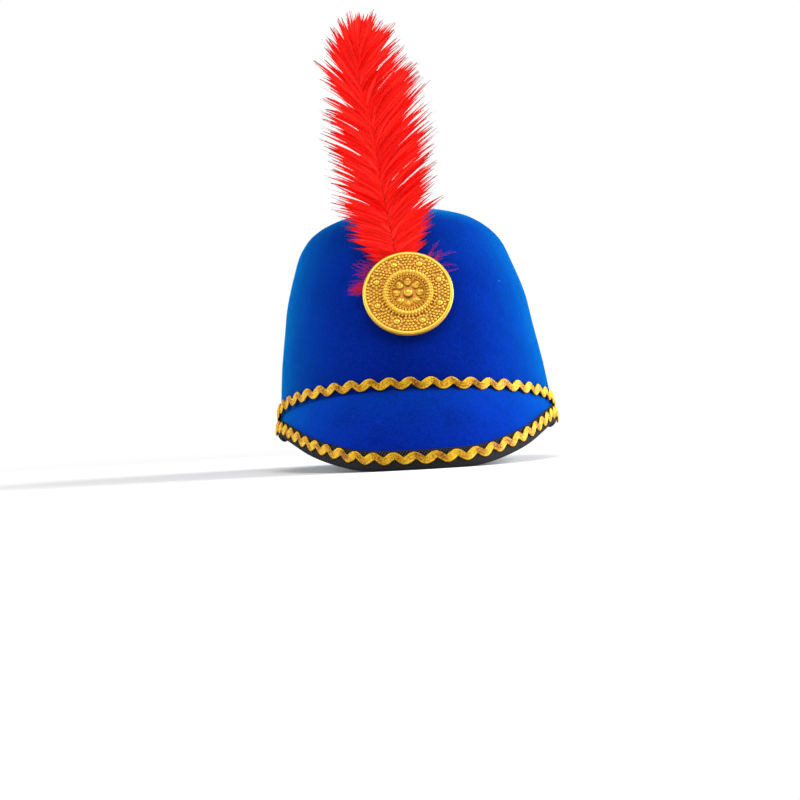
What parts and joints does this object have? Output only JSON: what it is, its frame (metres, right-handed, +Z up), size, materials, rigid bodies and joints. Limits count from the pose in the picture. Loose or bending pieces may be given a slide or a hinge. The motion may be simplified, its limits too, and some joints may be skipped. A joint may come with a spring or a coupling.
{
  "type": "costume shako hat",
  "caption": "Costume shako hat: felt crown and peak, rickrack trim, round cast badge and a tall ostrich plume.",
  "frame": {"origin": "on the floor under the middle of the hat's box, as the hat rests by itself", "axes": "+Z up, -Y out of the front over the peak, +X to the wearer's left"},
  "size_m": [0.1736, 0.2438, 0.2685],
  "materials": {
    "blue_felt": "pressed wool-like felt, matt with a short fuzz",
    "black_tape": "woven black binding tape",
    "gold_braid": "gold metallic rickrack braid",
    "gold_casting": "cast relief with a gold metallised coat",
    "red_feather": "dyed ostrich feather, soft barbs"
  },
  "bodies": {
    "root": {"crown": "blue_felt", "peak": "blue_felt", "crown_band": "black_tape", "peak_binding": "black_tape", "seam_braid": "gold_braid", "peak_braid": "gold_braid", "badge": "gold_casting", "plume": "red_feather"}
  },
  "joints": []
}
